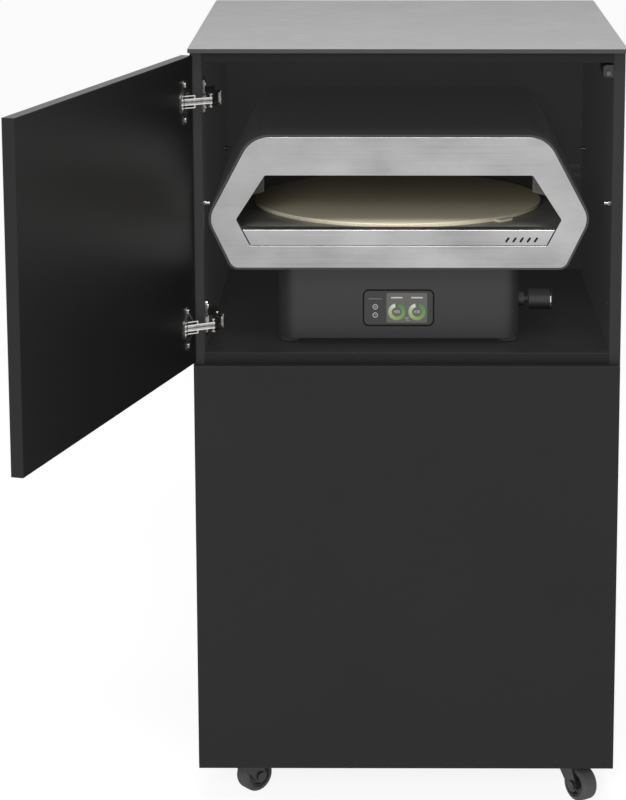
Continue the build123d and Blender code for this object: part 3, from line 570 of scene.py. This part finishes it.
# %% Oven fittings
dress(moulded("foot_rubber", grey(0.015), 0.7, 500, 0.00008), "oven_feet")
dress(moulded("knob_plastic", grey(0.013), 0.4, 1000, 0.00004), "oven_knob")
dress(moulded("display_window", grey(0.016), 0.25, 1500, 0.00001), "oven_display")
dress(moulded("display_screen", (0.08, 0.078, 0.07), 0.3, 2500, 0.00001), "oven_screen")
chrome = Finish("polished_chrome", (0.75, 0.75, 0.76), 0.12, metallic=1.0)
chrome.set(Roughness=chrome.spread(chrome.noise(300, 2.0), 0.08, 0.16))
dress(chrome, "oven_knob_ring")
brass = Finish("turned_brass", (0.62, 0.47, 0.20), 0.3, metallic=1.0)
turning = brass.noise(1.0, 2.0, brass.stretched((40, 2500, 40)))
tool_marks = brass.between(turning, (0.55, 0.41, 0.17), (0.68, 0.52, 0.24))
brass.set(**{"Base Color": tool_marks, "Roughness": brass.spread(turning, 0.24, 0.38)})
dress(brass, "oven_gas_inlet")

# %% [markdown]
# ## Display marks
# The screen is lit and shows two ring gauges, each with a number in its middle, a heading bar
# above each, and the unit between them. Left of the screen two round symbols and a rule are
# printed on the window. An image would blur close up, so each mark is a real shape, a seventh
# of a millimetre thick.

# %% Marks
window_low, window_high = (Vector(corner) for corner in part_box("oven_display"))
screen_low, screen_high = (Vector(corner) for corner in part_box("oven_screen"))
screen_middle = (screen_low + screen_high) / 2
mark_t = 0.00015


def mesh_of(name, shape):
    """Mesh of a finished bmesh, with its faces turned outwards."""
    bmesh.ops.recalc_face_normals(shape, faces=shape.faces)
    mesh = bpy.data.meshes.new(name)
    shape.to_mesh(mesh)
    shape.free()
    return mesh


def place_mark(name, mesh, finish):
    """Turns a mesh into a piece that rides on the cabinet."""
    mesh.materials.clear()
    mesh.materials.append(finish.material)
    piece = bpy.data.objects.new(name, mesh)
    bpy.context.scene.collection.objects.link(piece)
    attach(piece, "cabinet")
    print(name, len(mesh.polygons), "faces")


print("screen size", (screen_high - screen_low)[:])

# %% [markdown]
# ## Window gasket
# A thin black gasket runs round the window and hides its joint with the base. It could be a
# swept tube; a flat band is nearer to the real one. One face gets rounded corners, an inset
# leaves the band, the middle is deleted, and the band is extruded to its thickness.

# %% Window gasket
display_rim, gasket_corner = 0.004, 0.0085
gasket_overlap, gasket_width, gasket_t = 0.0011, 0.0022, 0.0004
base_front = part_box("oven_base")[0][1]
window_span, window_middle = window_high - window_low, (window_low + window_high) / 2
trim = 2 * (display_rim - gasket_overlap)
shape = bmesh.new()
bmesh.ops.create_grid(shape, x_segments=1, y_segments=1, size=0.5)
bmesh.ops.rotate(shape, verts=shape.verts, matrix=Matrix.Rotation(pi / 2, 3, "X"))
bmesh.ops.scale(shape, verts=shape.verts, vec=(window_span.x - trim, 1, window_span.z - trim))
bmesh.ops.bevel(shape, geom=list(shape.verts), offset=gasket_corner, affect="VERTICES",
                segments=8, profile=0.5, material=-1)
middle_face = list(shape.faces)
bmesh.ops.inset_region(shape, faces=middle_face, thickness=gasket_width, use_boundary=True,
                       use_even_offset=True)
bmesh.ops.delete(shape, geom=middle_face, context="FACES_ONLY")
band = bmesh.ops.extrude_face_region(shape, geom=list(shape.faces))["geom"]
raised = [item for item in band if isinstance(item, bmesh.types.BMVert)]
bmesh.ops.translate(shape, verts=raised, vec=(0, -gasket_t, 0))
bmesh.ops.translate(shape, verts=shape.verts, vec=(window_middle.x, base_front, window_middle.z))
gasket_rubber = moulded("gasket_rubber", grey(0.007), 0.6, 900, 0.00003)
gasket_rubber.set(**{"Specular IOR Level": 0.04})
place_mark("window_gasket", mesh_of("window_gasket", shape), gasket_rubber)

# %% [markdown]
# ## Rings
# A gauge is a flat ring that is open at the top. It could be cut from a disc; spinning a small
# square loop round the middle gives clean quads instead. Where the ring stays open, its two
# ends are filled, and where it closes, spin merges the seam.

# %% Rings
ring_steps = 48


def add_ring(shape, middle, inner, outer, gap):
    """Ring that faces -Y, open at the top by twice the gap angle."""
    corners = ((inner, 0), (outer, 0), (outer, -mark_t), (inner, -mark_t))
    loop = [shape.verts.new((radius, depth, 0)) for radius, depth in corners]
    sides = [shape.edges.new((loop[i], loop[i - 1])) for i in range(4)]
    bmesh.ops.rotate(shape, verts=loop, matrix=Matrix.Rotation(gap - pi / 2, 3, "Y"))
    before = set(shape.faces)
    bmesh.ops.spin(shape, geom=loop + sides, cent=(0, 0, 0), axis=(0, 1, 0),
                   angle=2 * (pi - gap), steps=ring_steps, use_merge=gap == 0)
    made = {vert for face in shape.faces if face not in before for vert in face.verts}
    rims = [edge for edge in shape.edges if edge.is_boundary and edge.verts[0] in made]
    bmesh.ops.holes_fill(shape, edges=rims, sides=4)
    bmesh.ops.translate(shape, verts=list(made), vec=middle)


# %% [markdown]
# ## Ring gauges
# Each gauge fades round its ring from near white through leaf green to deep green. The colour
# follows the angle about the gauge's middle, so the coordinates are moved to that middle first
# and their height is flipped to make the fade start at the top.

# %% Ring gauges
gauge_reach, gauge_drop = 0.0143, 0.0058
gauge_inner, gauge_outer, gauge_gap = 0.0069, 0.0121, radians(13)
for side, label in ((-1, "left"), (1, "right")):
    middle = Vector((screen_middle.x + side * gauge_reach, screen_low.y,
                     screen_middle.z - gauge_drop))
    shape = bmesh.new()
    add_ring(shape, middle, gauge_inner, gauge_outer, gauge_gap)
    paint = Finish(f"{label}_gauge_light", (0.36, 0.47, 0.13), 0.35)
    about = paint.add("ShaderNodeMapping", {"Vector": paint.place, "Scale": (1, 1, -1),
                                            "Location": (-middle.x, 0, middle.z)}).outputs[0]
    axes = paint.axes(about)
    turn = paint.spread(paint.math("ARCTAN2", axes["X"], axes["Z"]), 0.0, 1.0, -pi, pi)
    fade = paint.ramp(turn, (0.03, (0.50, 0.53, 0.50)), (0.2, (0.29, 0.35, 0.19)),
                      (0.5, (0.16, 0.25, 0.06)), (0.75, (0.08, 0.20, 0.05)),
                      (1.0, (0.04, 0.13, 0.045)))
    paint.set(**{"Base Color": fade, "Emission Color": fade, "Emission Strength": 0.06})
    place_mark(f"{label}_gauge", mesh_of(f"{label}_gauge", shape), paint)

# %% [markdown]
# ## Numbers
# The numbers and the unit are lit text. The letters could be drawn face by face, but a font
# curve already has their outlines. It is made a mesh first, so that the place goes into the
# mesh and the object stays at the origin.

# %% Numbers
number_height, unit_height, unit_rise = 0.0058, 0.0062, 0.0052


def lit(name, value):
    """Pale lit mark with a faint pixel grain."""
    finish = moulded(name, grey(value), 0.4, 3000, 0.00001)
    finish.set(**{"Emission Color": (*grey(value), 1), "Emission Strength": 0.15})
    return finish


def add_text(name, words, height, x, z, finish):
    """Text that stands on the screen, centred at x and z."""
    curve = bpy.data.curves.new(name, "FONT")
    curve.body, curve.size, curve.extrude = words, height, mark_t / 2
    curve.align_x, curve.align_y = "CENTER", "CENTER"
    text = bpy.data.objects.new(name + "_text", curve)
    mesh = bpy.data.meshes.new_from_object(text)
    stand = Matrix.Rotation(pi / 2, 4, "X")
    mesh.transform(Matrix.Translation((x, screen_low.y - mark_t / 2, z)) @ stand)
    bpy.data.objects.remove(text)
    mesh.name = name
    place_mark(name, mesh, finish)


number_light = lit("number_light", 0.36)
for side, label, words in ((-1, "left", "400"), (1, "right", "430")):
    add_text(f"{label}_number", words, number_height, screen_middle.x + side * gauge_reach,
             screen_middle.z - gauge_drop, number_light)
add_text("unit_mark", "\N{DEGREE SIGN}C", unit_height, screen_middle.x, screen_low.z + unit_rise,
         number_light)

# %% [markdown]
# ## Heading bars
# Above each gauge sits a short lit bar with rounded ends. A flat face would do from the front,
# but a closed shape with a thickness also holds from the side. So a bar is a scaled cube whose
# four short edges are bevelled round.

# %% Heading bars
heading_drop, heading_width, heading_height = 0.0068, 0.0165, 0.0021
corner_share = 0.45


def add_bar(shape, middle, width, height, turn=0.0):
    """Flat bar with rounded ends."""
    made = bmesh.ops.create_cube(shape, size=1)["verts"]
    bmesh.ops.scale(shape, verts=made, vec=(width, mark_t, height))
    short = [edge for edge in {edge for vert in made for edge in vert.link_edges}
             if abs(edge.verts[0].co.y - edge.verts[1].co.y) > mark_t / 2]
    rounded = bmesh.ops.bevel(shape, geom=short, offset=height * corner_share, affect="EDGES",
                              segments=3, profile=0.5, material=-1)
    made = list({vert for vert in made if vert.is_valid} | set(rounded["verts"]))
    bmesh.ops.rotate(shape, verts=made, matrix=Matrix.Rotation(turn, 3, "Y"))
    bmesh.ops.translate(shape, verts=made, vec=Vector(middle) + Vector((0, -mark_t / 2, 0)))


heading = bmesh.new()
for side in (-1, 1):
    gauge_x = screen_middle.x + side * gauge_reach
    add_bar(heading, (gauge_x, screen_low.y, screen_high.z - heading_drop), heading_width,
            heading_height)
place_mark("heading_bars", mesh_of("heading_bars", heading), lit("heading_light", 0.36))

# %% [markdown]
# ## Printed symbols
# Two round symbols stand one above the other beside the screen: full rings, the upper one with
# a dot and the lower one with a hand. A fine rule runs above them. An image on the window could
# show them, but the ring and bar from above are already there and stay sharp. They are printed,
# and their faint glow is painted light.

# %% Printed symbols
symbol_shift, symbol_inner, symbol_outer = 0.0024, 0.0027, 0.0037
dot_rise, dot_width, dot_height = 0.031, 0.0017, 0.0015
hand_rise, hand_width, hand_height = 0.019, 0.0022, 0.0008
hand_shift, hand_turn = Vector((0.0006, 0, 0.0005)), radians(-50)
rule_drop, rule_width, rule_height = 0.0165, 0.0195, 0.0008
symbol_x = (window_low.x + screen_low.x) / 2 + symbol_shift
dot_middle = Vector((symbol_x, window_low.y, window_low.z + dot_rise))
hand_middle = Vector((symbol_x, window_low.y, window_low.z + hand_rise))
symbols = bmesh.new()
add_ring(symbols, dot_middle, symbol_inner, symbol_outer, 0.0)
add_bar(symbols, dot_middle, dot_width, dot_height)
add_ring(symbols, hand_middle, symbol_inner, symbol_outer, 0.0)
add_bar(symbols, hand_middle + hand_shift, hand_width, hand_height, hand_turn)
# The print's glow is painted light.
place_mark("window_symbols", mesh_of("window_symbols", symbols), lit("symbol_print_glow", 0.34))
rule = bmesh.new()
add_bar(rule, (symbol_x, window_low.y, window_high.z - rule_drop), rule_width, rule_height)
place_mark("window_rule", mesh_of("window_rule", rule), lit("rule_print_glow", 0.14))
